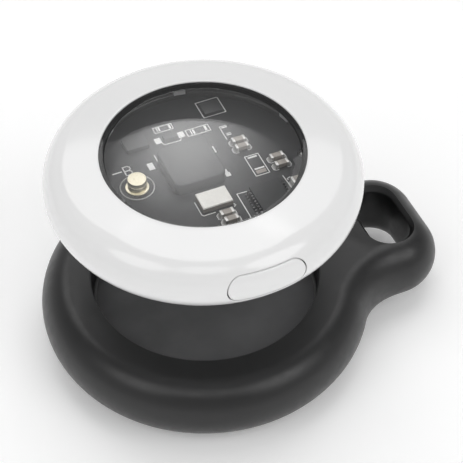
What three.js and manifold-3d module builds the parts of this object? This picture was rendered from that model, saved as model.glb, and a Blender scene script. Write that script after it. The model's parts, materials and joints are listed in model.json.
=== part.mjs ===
// Bluetooth tracker tag lifted above its soft ring holder, in millimetres with +Z up.
// The origin is the centre of the holder's flat base. +X runs along the key loop and
// -Y points the way the side button faces.
import * as THREE from "three";
import { mergeVertices } from "three/addons/utils/BufferGeometryUtils.js";
import Module from "manifold-3d";

const wasm = await Module();
wasm.setup();

// ---------- driving dimensions ----------

const AROUND = 72; // facets round a full turn on large rings
const AROUND_INNER = 48; // facets round a full turn on discs inside the casing
const AROUND_SMALL = 24; // facets round a full turn on pins, screws and posts

// Soft holder: a thick ring with a shallow pocket and a key loop.
const holder = {
  radius: 18.6, // at its widest level
  height: 8.4,
  widestLevel: 4.5,
  topRound: { inset: 3.4, rise: 3.9 }, // quarter ellipse from the widest level to the flat top
  baseRound: { inset: 4.3, rise: 4.5 }, // quarter ellipse from the flat base to the widest level
  loopReach: 27.65, // from the centre to the far edge of the loop
  loopHalfWidth: 7.75,
  loopCorner: 5.2,
  neckRadius: 7.5, // hollow fillets that join the loop to the ring
  pocketRadius: 12.8,
  pocketFloor: 4.6,
};
const keyHole = {
  centre: 22.25,
  halfLength: 4.35, // across the loop, along Y
  halfWidth: 2.5,
  topChamfer: { inset: 0.5, rise: 0.7 },
  baseRound: { inset: 2.2, rise: 3.0 },
};

// Tag: heights below are measured from the plane of its window, which is 0.
const WINDOW_PLANE = 27.17; // height of the window plane while the tag is lifted
const windowRadius = 10.9;
const rim = { centre: 13.76, level: -3.75, radius: 3.24 }; // round edge of the casing
const crownRadius = 48.6; // shallow crown between the window and the round edge
const crownMeetsRim = 79; // degrees up the round edge where the crown takes over
const wall = 1.14; // casing wall
const seamAngle = -62; // degrees down the round edge where the two casings part
const boss = { radius: 12.4, bottom: -9.2 }; // round boss that sits in the pocket
const batteryWall = { radius: 10.6, top: -5.6 };
const twistGroove = { radius: 11.75, top: -8.25, bottom: -8.95 };
const doorMouth = 10.95;

const board = { radius: 13.4, top: -3.2, thickness: 0.8 };
const boardBottom = board.top - board.thickness;
const seat = 0.05; // clearance under everything mounted on the board
const screwCircle = 12.4;
const screwAngles = [90, 210, 330];
const post = { x: -7.3, y: 0.35 }; // battery terminal post on the board

const button = { halfLength: 4.35, halfHeight: 1.7, level: -3.43, gap: 0.12 };
const cell = { radius: 10, top: -5.65, bottom: -8.85 };
const door = { radius: 11.6, bottom: -10.5, top: -9.55, plugRadius: 10.7, plugTop: -8.4 };

// ---------- materials ----------

const finish = (colour, roughness, metalness = 0) =>
  new THREE.MeshStandardMaterial({ color: colour, roughness, metalness });

const materials = {
  silicone: () => finish(0x2b2b2c, 0.55),
  whiteShell: () => finish(0xf1f1f1, 0.22),
  clearLens: () => {
    const clear = finish(0xdfe4e6, 0.05);
    clear.transparent = true;
    clear.opacity = 0.3;
    return clear;
  },
  blackPlastic: () => finish(0x161617, 0.45),
  boardMask: () => finish(0x37383a, 0.4),
  chipBlack: () => finish(0x4a4b4d, 0.5),
  creamCeramic: () => finish(0xeceae4, 0.4),
  capacitor: () => finish(0xa59f96, 0.5),
  gold: () => finish(0xe2d9b8, 0.3, 0.8),
  steel: () => finish(0xb9bcc0, 0.3, 1),
  brassSheet: () => finish(0xc8a45a, 0.35, 1),
  copper: () => finish(0xb87350, 0.35, 1),
  rubberSeal: () => finish(0x303031, 0.7),
};

// ---------- solid geometry helpers ----------

const radians = THREE.MathUtils.degToRad;
const polar = (radius, degrees) => [radius * Math.cos(radians(degrees)), radius * Math.sin(radians(degrees))];

// Positions and indices only, with shared vertices and no collapsed triangles.
function welded(geometry) {
  const bare = new THREE.BufferGeometry();
  bare.setAttribute("position", geometry.getAttribute("position"));
  bare.setIndex(geometry.getIndex());
  const merged = mergeVertices(bare, 1e-4);
  const index = merged.getIndex().array;
  const kept = [];
  for (let i = 0; i < index.length; i += 3) {
    const [a, b, c] = [index[i], index[i + 1], index[i + 2]];
    if (a !== b && b !== c && c !== a) kept.push(a, b, c);
  }
  merged.setIndex(kept);
  return merged;
}

function toManifold(geometry) {
  const closed = welded(geometry);
  const mesh = new wasm.Mesh({
    numProp: 3,
    vertProperties: new Float32Array(closed.getAttribute("position").array),
    triVerts: new Uint32Array(closed.getIndex().array),
  });
  return new wasm.Manifold(mesh);
}

function fromManifold(manifold) {
  const mesh = manifold.getMesh();
  const geometry = new THREE.BufferGeometry();
  geometry.setAttribute("position", new THREE.BufferAttribute(mesh.vertProperties, 3));
  geometry.setIndex(new THREE.BufferAttribute(mesh.triVerts, 1));
  geometry.computeVertexNormals();
  return geometry;
}

// The base geometry with every geometry of the list cut away.
const cut = (base, tools) =>
  fromManifold(tools.reduce((left, tool) => left.subtract(toManifold(tool)), toManifold(base)));
const join = (base, pieces) =>
  fromManifold(pieces.reduce((sum, piece) => sum.add(toManifold(piece)), toManifold(base)));
const common = (one, other) => fromManifold(toManifold(one).intersect(toManifold(other)));

// Points of an arc in the radius-height plane, both ends included.
function arc(centre, level, radius, from, to, steps) {
  const points = [];
  for (let i = 0; i <= steps; i += 1) {
    const [dx, dz] = polar(radius, from + ((to - from) * i) / steps);
    points.push([centre + dx, level + dz]);
  }
  return points;
}

function signedArea(points) {
  let twice = 0;
  points.forEach(([x, y], i) => {
    const [nextX, nextY] = points[(i + 1) % points.length];
    twice += x * nextY - nextX * y;
  });
  return twice / 2;
}

// Solid of revolution about Z from a closed outline of [radius, height] points.
function revolve(outline, segments = AROUND) {
  const points = signedArea(outline) > 0 ? [...outline] : [...outline].reverse();
  const profile = [...points, points[0]].map(([radius, height]) => new THREE.Vector2(radius, height));
  return new THREE.LatheGeometry(profile, segments).rotateX(Math.PI / 2);
}

const disc = (radius, bottom, top, segments = AROUND) =>
  new THREE.CylinderGeometry(radius, radius, top - bottom, segments)
    .rotateX(Math.PI / 2)
    .translate(0, 0, (top + bottom) / 2);

const ring = (inner, outer, bottom, top, segments = AROUND) =>
  revolve([[inner, bottom], [outer, bottom], [outer, top], [inner, top]], segments);

const block = (x0, x1, y0, y1, z0, z1) =>
  new THREE.BoxGeometry(x1 - x0, y1 - y0, z1 - z0).translate((x0 + x1) / 2, (y0 + y1) / 2, (z0 + z1) / 2);

// Closed solid through a stack of level outlines that all have the same number of points.
function loft(levels) {
  const count = levels[0].points.length;
  const positions = levels.flatMap(({ points, z }) => points.flatMap(([x, y]) => [x, y, z]));
  const index = [];
  for (let level = 0; level + 1 < levels.length; level += 1) {
    for (let i = 0; i < count; i += 1) {
      const a = level * count + i;
      const b = level * count + ((i + 1) % count);
      index.push(a, b, b + count, a, b + count, a + count);
    }
  }
  const capOf = (points) =>
    THREE.ShapeUtils.triangulateShape(points.map(([x, y]) => new THREE.Vector2(x, y)), []);
  const top = (levels.length - 1) * count;
  capOf(levels[0].points).forEach(([a, b, c]) => index.push(a, c, b));
  capOf(levels.at(-1).points).forEach(([a, b, c]) => index.push(top + a, top + b, top + c));
  const geometry = new THREE.BufferGeometry();
  geometry.setAttribute("position", new THREE.Float32BufferAttribute(positions, 3));
  geometry.setIndex(index);
  return geometry;
}

// Rounded slot of a given half length and half height, cut along Y from yOuter inwards.
function pillPrism(halfLength, halfHeight, level, yInner, yOuter) {
  const straight = halfLength - halfHeight;
  const pill = new THREE.Shape();
  pill.absarc(straight, 0, halfHeight, -Math.PI / 2, Math.PI / 2, false);
  pill.absarc(-straight, 0, halfHeight, Math.PI / 2, (3 * Math.PI) / 2, false);
  pill.closePath();
  const depth = yInner - yOuter;
  return new THREE.ExtrudeGeometry(pill, { depth, bevelEnabled: false, curveSegments: 12 })
    .rotateX(Math.PI / 2)
    .translate(0, yInner, level);
}

// Strip of sheet along a bent line in the XZ plane that never folds back, width along Y.
function bentStrip(line, thickness, width) {
  const shape = new THREE.Shape();
  shape.moveTo(...line[0]);
  line.slice(1).forEach(([x, z]) => shape.lineTo(x, z));
  [...line].reverse().forEach(([x, z]) => shape.lineTo(x, z - thickness));
  shape.closePath();
  return new THREE.ExtrudeGeometry(shape, { depth: width, bevelEnabled: false })
    .rotateX(Math.PI / 2)
    .translate(0, width / 2, 0);
}

// ---------- holder ----------

// Outline of the holder drawn inwards by the given inset, counter-clockwise.
function holderOutline(inset) {
  const { radius, loopReach, loopHalfWidth, loopCorner, neckRadius } = holder;
  const neckY = loopHalfWidth + neckRadius;
  const neckX = Math.sqrt((radius + neckRadius) ** 2 - neckY ** 2);
  const neckAngle = THREE.MathUtils.radToDeg(Math.atan2(neckY, neckX));
  const cornerX = loopReach - loopCorner;
  const cornerY = loopHalfWidth - loopCorner;
  const upperHalf = [
    ...arc(cornerX, cornerY, loopCorner - inset, 0, 90, 8),
    ...arc(neckX, neckY, neckRadius + inset, 270, 180 + neckAngle, 8),
    ...arc(0, 0, radius - inset, neckAngle, 180, 32).slice(1),
  ];
  const lowerHalf = upperHalf.slice(0, -1).reverse().map(([x, y]) => [x, -y]);
  return [...upperHalf, ...lowerHalf];
}

// Obround outline of the key hole, drawn outwards by the given amount.
function keyHoleOutline(grow) {
  const radius = keyHole.halfWidth + grow;
  const straight = keyHole.halfLength - keyHole.halfWidth;
  return [
    ...arc(keyHole.centre, straight, radius, 0, 180, 16),
    ...arc(keyHole.centre, -straight, radius, 180, 360, 16),
  ];
}

// Levels of a quarter ellipse that starts on a flat face and ends on a vertical wall.
function roundingLevels({ inset, rise }, flatLevel, wallLevel, steps) {
  const towardsFlat = Math.sign(flatLevel - wallLevel);
  return Array.from({ length: steps + 1 }, (unused, i) => {
    const angle = (Math.PI / 2) * (1 - i / steps);
    return {
      offset: inset * (1 - Math.cos(angle)),
      z: wallLevel + towardsFlat * rise * Math.sin(angle),
    };
  });
}

function holderBody() {
  const { height, widestLevel, topRound, baseRound, pocketRadius, pocketFloor } = holder;
  const lower = roundingLevels(baseRound, 0, widestLevel, 6);
  const upper = roundingLevels(topRound, height, widestLevel, 6).reverse();
  const skin = loft([...lower, ...upper.slice(1)].map(({ offset, z }) => ({ points: holderOutline(offset), z })));

  const flare = roundingLevels(keyHole.baseRound, 0, keyHole.baseRound.rise, 5);
  const chamferFoot = height - keyHole.topChamfer.rise;
  const holeLevels = [
    { offset: keyHole.baseRound.inset, z: -1 },
    ...flare,
    { offset: 0, z: chamferFoot },
    { offset: keyHole.topChamfer.inset, z: height },
    { offset: keyHole.topChamfer.inset, z: height + 1 },
  ];
  const hole = loft(holeLevels.map(({ offset, z }) => ({ points: keyHoleOutline(offset), z })));
  return cut(skin, [disc(pocketRadius, pocketFloor, height + 1), hole]);
}

// ---------- casing ----------

// Point on the round edge's section at a given tube radius and angle.
function rimPoint(tubeRadius, degrees) {
  const [dx, dz] = polar(tubeRadius, degrees);
  return [rim.centre + dx, rim.level + dz];
}

// Outer skin from the window edge over the crown and down the round edge.
function casingSkin(endAngle, steps) {
  const [meetX, meetZ] = polar(crownRadius - rim.radius, crownMeetsRim);
  const crownX = rim.centre - meetX;
  const crownZ = rim.level - meetZ;
  const windowAngle = THREE.MathUtils.radToDeg(Math.acos((windowRadius - crownX) / crownRadius));
  return [
    ...arc(crownX, crownZ, crownRadius, windowAngle, crownMeetsRim, 3),
    ...arc(rim.centre, rim.level, rim.radius, crownMeetsRim, endAngle, steps).slice(1),
  ];
}

function bezelShell() {
  const lipUnderside = [[windowRadius, -0.8], [12.6, -0.95]];
  const inside = arc(rim.centre, rim.level, rim.radius - wall, seamAngle, 110, 7);
  const shell = revolve([...casingSkin(seamAngle, 14), ...inside, ...lipUnderside.reverse()]);
  const opening = pillPrism(button.halfLength, button.halfHeight, button.level, -14, -18);
  return cut(shell, [opening]);
}

function baseShell() {
  const mating = seamAngle - 3;
  const plugTop = -4.6;
  const floorTop = -6;
  const outline = [
    [13.65, plugTop],
    [14.45, plugTop],
    [14.45, -5.56],
    rimPoint(rim.radius - wall, mating),
    ...arc(rim.centre, rim.level, rim.radius, mating, -90, 5),
    [boss.radius + 0.2, rim.level - rim.radius],
    [boss.radius, rim.level - rim.radius - 0.2],
    [boss.radius, boss.bottom + 0.2],
    [boss.radius - 0.2, boss.bottom],
    [doorMouth, boss.bottom],
    [doorMouth, twistGroove.bottom],
    [twistGroove.radius, twistGroove.bottom],
    [twistGroove.radius, twistGroove.top],
    [batteryWall.radius, twistGroove.top],
    [batteryWall.radius, batteryWall.top],
    [12.2, batteryWall.top],
    [12.2, floorTop],
    [13.65, floorTop],
  ];
  const notchHalf = button.halfLength + 0.9;
  const buttonNotch = block(-notchHalf, notchHalf, -14.6, -12.6, floorTop + 0.3, plugTop + 1);
  const entries = lugAngles.map((angle) =>
    sector(doorMouth - 0.5, twistGroove.radius, boss.bottom - 1, twistGroove.top - 0.2, angle + doorTwist, 11)
  );
  return cut(revolve(outline), [buttonNotch, ...entries]);
}

// Piece of a ring around a given direction, with a given half angle.
function sector(inner, outer, bottom, top, middle, halfAngle) {
  const shape = new THREE.Shape();
  shape.absarc(0, 0, outer, radians(middle - halfAngle), radians(middle + halfAngle), false);
  shape.absarc(0, 0, inner, radians(middle + halfAngle), radians(middle - halfAngle), true);
  shape.closePath();
  const curveSegments = Math.max(4, Math.ceil(halfAngle / 2.5));
  return new THREE.ExtrudeGeometry(shape, { depth: top - bottom, bevelEnabled: false, curveSegments })
    .translate(0, 0, bottom);
}

const tabAngles = [14, 81, 134, 194, 254, 314];

// Clear window with a hidden flange and six snap tabs that stand inside the black ring.
function lens() {
  const flange = { radius: 12.2, top: -1, bottom: -1.4 };
  const body = revolve([
    [0, 0.1], [4, 0.065], [7.5, -0.02], [10.3, -0.13], [10.75, -0.2],
    [10.75, flange.top], [flange.radius, flange.top], [flange.radius, flange.bottom],
    [10.6, flange.bottom], [10.2, -0.85], [7.5, -0.8], [0, -0.75],
  ]);
  const tabs = tabAngles.map((angle) => sector(10.65, 11.15, -2.05, flange.bottom + 0.1, angle, 3.5));
  return join(body, tabs);
}

function chassisRing() {
  const body = revolve([
    [11.34, -3.15], [11.34, -2.6], [11.22, -2.5], [11.22, -2.4], [11.34, -2.3],
    [11.34, -1.7], [11.6, -1.5], [12.4, -1.5], [12.7, -1.95], [13.4, -1.95], [13.4, -3.15],
  ]);
  const holes = screwAngles.map((angle) => {
    const [x, y] = polar(screwCircle, angle);
    return disc(0.62, -3.5, -2.1, AROUND_SMALL).translate(x, y, 0);
  });
  return cut(body, holes);
}

// Plastic tray between the board and the battery, with four arms and support pillars.
function midFrame() {
  const floor = { bottom: -5.55, top: -5.2 };
  const arms = [45, 135, 225, 315].map((angle) =>
    block(8, 12.1, -1.5, 1.5, floor.bottom, floor.top).rotateZ(radians(angle))
  );
  const pillars = [45, 135, 225, 315].map((angle) => {
    const [x, y] = polar(11.1, angle);
    return disc(0.8, floor.bottom + 0.1, boardBottom - seat, AROUND_SMALL).translate(x, y, 0);
  });
  const tray = join(disc(9.8, floor.bottom, floor.top, AROUND_INNER), [...arms, ...pillars]);
  return cut(tray, [disc(1.9, -6, -5, AROUND_SMALL).translate(post.x, post.y, 0)]);
}

function boardScrew(angle) {
  const [x, y] = polar(screwCircle, angle);
  const headTop = boardBottom - seat;
  const headBottom = headTop - 0.5;
  const body = revolve([[0, headBottom], [0.85, headBottom], [1, headTop - 0.3], [1, headTop],
    [0.5, headTop], [0.5, -2.4], [0.3, -2.2], [0, -2.2]], AROUND_SMALL);
  const slot = block(-0.75, 0.75, -0.12, 0.12, headBottom - 0.1, headBottom + 0.2);
  return cut(body, [slot, slot.clone().rotateZ(Math.PI / 2)]).translate(x, y, 0);
}

// ---------- battery door ----------

const lugAngles = [0, 120, 240];
const doorTwist = 25; // degrees from locked to free

function batteryDoor() {
  const plugWall = 10.3;
  const body = revolve([
    [0, door.bottom], [door.radius - 0.25, door.bottom], [door.radius, door.bottom + 0.25],
    [door.radius, door.top], [door.plugRadius, door.top], [door.plugRadius, door.plugTop],
    [plugWall, door.plugTop], [plugWall, -9], [0, -9],
  ]);
  const lugs = lugAngles.map((angle) => sector(door.plugRadius - 0.3, 11.5, -8.85, door.plugTop, angle, 8));
  const coinSlot = pillPrism(6, 1, 0, 0.7, -0.1)
    .rotateX(-Math.PI / 2)
    .translate(0, 0, door.bottom);
  return cut(join(body, lugs), [coinSlot]);
}

const doorSeal = () => ring(11.05, 11.45, door.top + 0.05, boss.bottom - 0.05, AROUND_INNER);

// ---------- battery, terminals and sounder ----------

const battery = () =>
  revolve([
    [0, cell.bottom], [cell.radius - 0.4, cell.bottom], [cell.radius, cell.bottom + 0.4],
    [cell.radius, cell.top - 0.7], [cell.radius - 0.35, cell.top - 0.4], [8.9, cell.top - 0.4],
    [8.9, cell.top - 0.15], [8.75, cell.top], [0, cell.top],
  ], AROUND_INNER);

const positiveContact = () => sector(10.15, 10.35, -7.9, boardBottom - seat, 0, 12);

function negativeContact() {
  const line = [[-1.1, -4.1], [0, -4.1], [0.9, -5.35], [1.2, -5.45], [1.5, -5.3]];
  return bentStrip(line, 0.15, 1.4).translate(post.x, post.y, 0);
}

function terminalPost() {
  const base = board.top + seat;
  return revolve([
    [0, boardBottom - seat], [0.5, boardBottom - seat], [0.5, base], [1.25, base], [1.25, base + 0.1],
    [1, base + 0.15], [1, base + 0.62], [0.9, base + 0.68], [0.9, base + 0.76],
    [1, base + 0.82], [1, base + 1.15], [0.92, base + 1.22], [0, base + 1.22],
  ], AROUND_SMALL).translate(post.x, post.y, 0);
}

const sounder = { x: 2, y: -1, plateRadius: 6, ceramicRadius: 4.3, plateBottom: -5.14, plateTop: -4.96 };
const buzzerPlate = () =>
  disc(sounder.plateRadius, sounder.plateBottom, sounder.plateTop, AROUND_INNER).translate(sounder.x, sounder.y, 0);
const buzzerCeramic = () =>
  disc(sounder.ceramicRadius, sounder.plateTop + 0.02, sounder.plateTop + 0.22, AROUND_INNER)
    .translate(sounder.x, sounder.y, 0);

const antennaRing = () => sector(14.05, 15.15, -3.9, -3, 90, 145);

// ---------- side button ----------

// Band of the round edge between two tube radii, closed on the inner side.
const rimBand = (outer, inner) =>
  revolve([
    ...arc(rim.centre, rim.level, outer, -80, 80, 14),
    ...arc(rim.centre, rim.level, inner, 80, -80, 6),
  ]);

function buttonCap() {
  const { halfLength, halfHeight, level, gap } = button;
  const cap = common(
    rimBand(rim.radius, 1.5),
    pillPrism(halfLength - gap, halfHeight - gap, level, -13.5, -18)
  );
  const flange = common(
    rimBand(rim.radius - wall - 0.15, 1.5),
    pillPrism(halfLength + 0.5, halfHeight + 0.25, level, -13.5, -18)
  );
  const stem = block(-0.6, 0.6, -15.2, -14.1, -5, -4.35);
  return join(cap, [flange, stem]);
}

function switchBody() {
  const body = block(-1.6, 1.6, -13.2, -11.4, -5.35, boardBottom - seat);
  const socket = block(-0.65, 0.65, -13.5, -12.2, -5.15, -4.25);
  return cut(body, [socket]);
}

const switchPlunger = () => block(-0.55, 0.55, -14.05, -12.7, -5.05, -4.35);

// ---------- circuit board ----------

function circuitBoard() {
  const holes = screwAngles.map((angle) => {
    const [x, y] = polar(screwCircle, angle);
    return disc(0.65, -5, -2, AROUND_SMALL).translate(x, y, 0);
  });
  const postHole = disc(0.7, -5, -2, AROUND_SMALL).translate(post.x, post.y, 0);
  return cut(disc(board.radius, boardBottom, board.top), [...holes, postHole]);
}

// Chip package that stands on the board, centred on x and y, with bevelled edges.
function chip(x, y, width, depth, height, corner, bevel) {
  const [w, d] = [width / 2 - bevel, depth / 2 - bevel];
  const shape = new THREE.Shape();
  shape.absarc(w - corner, d - corner, corner, 0, Math.PI / 2, false);
  shape.absarc(corner - w, d - corner, corner, Math.PI / 2, Math.PI, false);
  shape.absarc(corner - w, corner - d, corner, Math.PI, (3 * Math.PI) / 2, false);
  shape.absarc(w - corner, corner - d, corner, (3 * Math.PI) / 2, 2 * Math.PI, false);
  shape.closePath();
  return new THREE.ExtrudeGeometry(shape, {
    depth: height - 2 * bevel,
    bevelEnabled: true,
    bevelThickness: bevel,
    bevelSize: bevel,
    bevelSegments: 1,
    curveSegments: corner > 0.3 ? 6 : 1,
  }).translate(x, y, board.top + seat + bevel);
}

// Small-outline chip with a row of leads along each of its long sides.
function leadedChip({ x, y, width, length, leads, pitch }) {
  const body = chip(x, y, width, length, 0.75, 0.1, 0.06);
  const level = board.top + seat;
  const rows = [];
  for (let i = 0; i < leads; i += 1) {
    const at = y + (i - (leads - 1) / 2) * pitch;
    [-1, 1].forEach((side) => {
      const inner = x + side * (width / 2 - 0.2);
      const outer = x + side * (width / 2 + 0.55);
      rows.push(block(Math.min(inner, outer), Math.max(inner, outer), at - 0.1, at + 0.1, level, level + 0.25));
    });
  }
  return join(body, rows);
}

const capacitorPlaces = [
  { x: 5.07, y: 2.36 },
  { x: 5, y: 1.3 },
  { x: 7.79, y: -1.5 },
  { x: 7.83, y: -2.7 },
  { x: -0.3, y: -6.98 },
  { x: -0.22, y: -7.98 },
];
const capacitorSize = { width: 1.5, depth: 0.7, height: 0.55 };

const placedChips = {
  radio_chip: { x: -1.22, y: 0.34, width: 5.75, depth: 5.95, height: 1.45, corner: 0.8, kind: "chipBlack" },
  memory_chip: { x: 4.4, y: 8.3, width: 2.2, depth: 2, height: 0.45, corner: 0.08, kind: "chipBlack" },
  motion_sensor: { x: -5.25, y: 6.2, width: 2.5, depth: 1.8, height: 0.45, corner: 0.08, kind: "chipBlack" },
  filter_chip: { x: -1.4, y: 5.85, width: 1.6, depth: 0.95, height: 0.4, corner: 0.08, kind: "chipBlack" },
  inductor: { x: 8.3, y: -5.9, width: 1.4, depth: 1.3, height: 0.7, corner: 0.1, kind: "chipBlack" },
  crystal: { x: -0.8, y: -4.79, width: 3.35, depth: 2.32, height: 0.7, corner: 0.12, kind: "creamCeramic" },
};

const driverChip = { x: 4.75, y: -6.85, width: 3.4, length: 3.9, leads: 9, pitch: 0.4 };

// ---------- assembly ----------

function put(parent, name, geometry, material) {
  const mesh = new THREE.Mesh(geometry, material);
  mesh.name = name;
  parent.add(mesh);
}

function boardParts(parent) {
  put(parent, "circuit_board", circuitBoard(), materials.boardMask());
  Object.entries(placedChips).forEach(([name, { x, y, width, depth, height, corner, kind }]) => {
    put(parent, name, chip(x, y, width, depth, height, corner, 0.06), materials[kind]());
  });
  put(parent, "driver_chip", leadedChip(driverChip), materials.chipBlack());
  capacitorPlaces.forEach(({ x, y }, i) => {
    const { width, depth, height } = capacitorSize;
    put(parent, `capacitor_${i + 1}`, chip(x, y, width, depth, height, 0.05, 0.04), materials.capacitor());
  });
  put(parent, "terminal_post", terminalPost(), materials.gold());
}

function casingParts(parent) {
  put(parent, "bezel_shell", bezelShell(), materials.whiteShell());
  put(parent, "base_shell", baseShell(), materials.whiteShell());
  put(parent, "window_lens", lens(), materials.clearLens());
  put(parent, "chassis_ring", chassisRing(), materials.blackPlastic());
  put(parent, "battery_tray", midFrame(), materials.blackPlastic());
  screwAngles.forEach((angle, i) => {
    put(parent, `board_screw_${i + 1}`, boardScrew(angle), materials.steel());
  });
  put(parent, "battery_door", batteryDoor(), materials.whiteShell());
  put(parent, "door_seal", doorSeal(), materials.rubberSeal());
}

function powerAndSoundParts(parent) {
  put(parent, "coin_cell", battery(), materials.steel());
  put(parent, "positive_contact", positiveContact(), materials.gold());
  put(parent, "negative_contact", negativeContact(), materials.gold());
  put(parent, "sounder_plate", buzzerPlate(), materials.brassSheet());
  put(parent, "sounder_ceramic", buzzerCeramic(), materials.creamCeramic());
  put(parent, "antenna_ring", antennaRing(), materials.copper());
}

function buttonParts(parent) {
  put(parent, "button_cap", buttonCap(), materials.whiteShell());
  put(parent, "switch_body", switchBody(), materials.blackPlastic());
  put(parent, "switch_plunger", switchPlunger(), materials.creamCeramic());
}

const tracker = new THREE.Group();
put(tracker, "holder_body", holderBody(), materials.silicone());

const tag = new THREE.Group();
tag.position.z = WINDOW_PLANE;
casingParts(tag);
powerAndSoundParts(tag);
buttonParts(tag);
boardParts(tag);
tracker.add(tag);

export default tracker;
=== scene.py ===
"""Bluetooth tracker tag above its soft ring holder: smooth pieces, materials, light and camera.

Lengths in the shape functions are millimetres in the row frame and become metres in clean_mesh.
Heights on the tag are measured from its window plane, and lift=WINDOW_PLANE puts them in place.
"""
import json
import math

import bpy
import bmesh
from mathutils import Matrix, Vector


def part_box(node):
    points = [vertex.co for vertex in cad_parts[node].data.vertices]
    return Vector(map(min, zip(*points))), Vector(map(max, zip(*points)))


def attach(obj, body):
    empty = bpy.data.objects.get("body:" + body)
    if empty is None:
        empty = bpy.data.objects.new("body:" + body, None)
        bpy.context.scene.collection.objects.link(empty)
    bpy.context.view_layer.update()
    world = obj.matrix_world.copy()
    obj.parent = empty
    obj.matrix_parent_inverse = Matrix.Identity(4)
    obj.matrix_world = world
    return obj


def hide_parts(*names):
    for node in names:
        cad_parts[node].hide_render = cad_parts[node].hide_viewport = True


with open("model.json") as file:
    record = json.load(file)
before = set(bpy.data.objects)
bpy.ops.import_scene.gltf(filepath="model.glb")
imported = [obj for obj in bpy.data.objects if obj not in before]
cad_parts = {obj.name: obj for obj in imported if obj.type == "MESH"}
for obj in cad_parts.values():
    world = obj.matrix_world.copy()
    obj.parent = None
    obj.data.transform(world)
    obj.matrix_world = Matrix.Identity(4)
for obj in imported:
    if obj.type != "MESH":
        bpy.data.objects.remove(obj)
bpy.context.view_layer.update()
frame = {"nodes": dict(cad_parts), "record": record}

MM = 0.001
MERGE_DISTANCE = 1e-7  # metres
ON_AXIS = 1e-9  # a radius below this lies on the axis


def node_box(name):
    """Lowest and highest corner of a CAD node, in millimetres."""
    low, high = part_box(name)
    return Vector(low) / MM, Vector(high) / MM


def node_middle(name):
    low, high = node_box(name)
    return (low + high) / 2


# ---------- driving dimensions, in millimetres ----------

WINDOW_PLANE = 27.17
WINDOW_RADIUS = 10.9
RIM_CENTRE, RIM_LEVEL, RIM_RADIUS = 13.76, -3.75, 3.24
CROWN_RADIUS, CROWN_MEETS_RIM = 48.6, 79.0
WALL = 1.14
SEAM_ANGLE = -62.0
BOSS_RADIUS, BOSS_BOTTOM = 12.4, -9.2
DOOR_RADIUS, DOOR_TOP, DOOR_BOTTOM = 11.6, -9.55, -10.5
LENS_THICKNESS = 0.85
LENS_CLEAR_RADIUS = 10.5  # the hidden rim of the window is painted black
TAB_ANGLES, TAB_HALF_ANGLE = (14, 81, 134, 194, 254, 314), 3.4
BUTTON_HALF_LENGTH, BUTTON_HALF_HEIGHT, BUTTON_LEVEL, BUTTON_GAP = 4.35, 1.7, -3.43, 0.12
BUTTON_PATCH = 0.3  # margin round the button that has a mesh of its own
NOTCH_CENTRE, NOTCH_SIZE = (0, -13.6, -4.65), (10.5, 2.0, 2.1)  # clears the button in the lower casing

HOLDER_RADIUS, HOLDER_HEIGHT, HOLDER_WIDEST = 18.6, 8.4, 4.5
HOLDER_TOP_INSET, HOLDER_BASE_INSET = 3.4, 4.3
LOOP_REACH, LOOP_HALF_WIDTH, LOOP_CORNER, NECK_RADIUS = 27.65, 7.75, 5.2, 7.5
POCKET_RADIUS, POCKET_FLOOR, POCKET_CORNER = 12.8, 4.6, 0.45
HOLE_CENTRE, HOLE_HALF_LENGTH, HOLE_HALF_WIDTH = 22.25, 4.35, 2.5
HOLE_CHAMFER_INSET, HOLE_CHAMFER_RISE = 0.5, 0.7
HOLE_FLARE_INSET, HOLE_FLARE_RISE = 2.2, 3.0

FINE = 1


# ---------- material helpers ----------

class Shader:
    """A principled material and the few node chains that every finish here uses."""

    def __init__(self, name, colour, roughness, **inputs):
        self.material = bpy.data.materials.new(name)
        self.material.use_nodes = True
        self.tree = self.material.node_tree
        self.shader = self.tree.nodes["Principled BSDF"]
        self.place = self.tree.nodes.new("ShaderNodeTexCoord")
        self.shader.inputs["Base Color"].default_value = (*colour, 1.0)
        self.shader.inputs["Roughness"].default_value = roughness
        for key, value in inputs.items():
            self.shader.inputs[key.replace("_", " ")].default_value = value

    def noise(self, per_mm, detail=3.0, roughness=0.5, stretch=(1, 1, 1)):
        """Noise in object space, with about per_mm features to a millimetre."""
        mapping = self.tree.nodes.new("ShaderNodeMapping")
        mapping.inputs["Scale"].default_value = stretch
        self.tree.links.new(self.place.outputs["Object"], mapping.inputs["Vector"])
        node = self.tree.nodes.new("ShaderNodeTexNoise")
        node.inputs["Scale"].default_value = per_mm / MM
        node.inputs["Detail"].default_value = detail
        node.inputs["Roughness"].default_value = roughness
        self.tree.links.new(mapping.outputs["Vector"], node.inputs["Vector"])
        return node.outputs["Fac"]

    def ramp(self, value, low, high, start=0.35, end=0.65):
        """Maps value between two colours or two numbers."""
        node = self.tree.nodes.new("ShaderNodeValToRGB")
        shades = [(shade,) * 3 if isinstance(shade, (int, float)) else shade for shade in (low, high)]
        for element, position, shade in zip(node.color_ramp.elements, (start, end), shades):
            element.position = position
            element.color = (*shade, 1.0)
        self.tree.links.new(value, node.inputs["Fac"])
        return node.outputs["Color"]

    def feed(self, output, socket):
        self.tree.links.new(output, self.shader.inputs[socket])

    def bump(self, *layers):
        """Each layer is (height output, strength, depth in millimetres)."""
        normal = None
        for height, strength, depth in layers:
            node = self.tree.nodes.new("ShaderNodeBump")
            node.inputs["Strength"].default_value = strength
            node.inputs["Distance"].default_value = depth * MM
            self.tree.links.new(height, node.inputs["Height"])
            if normal is not None:
                self.tree.links.new(normal, node.inputs["Normal"])
            normal = node.outputs["Normal"]
        self.feed(normal, "Normal")


def shade_of(colour, factor):
    return tuple(channel * factor for channel in colour)


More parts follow.
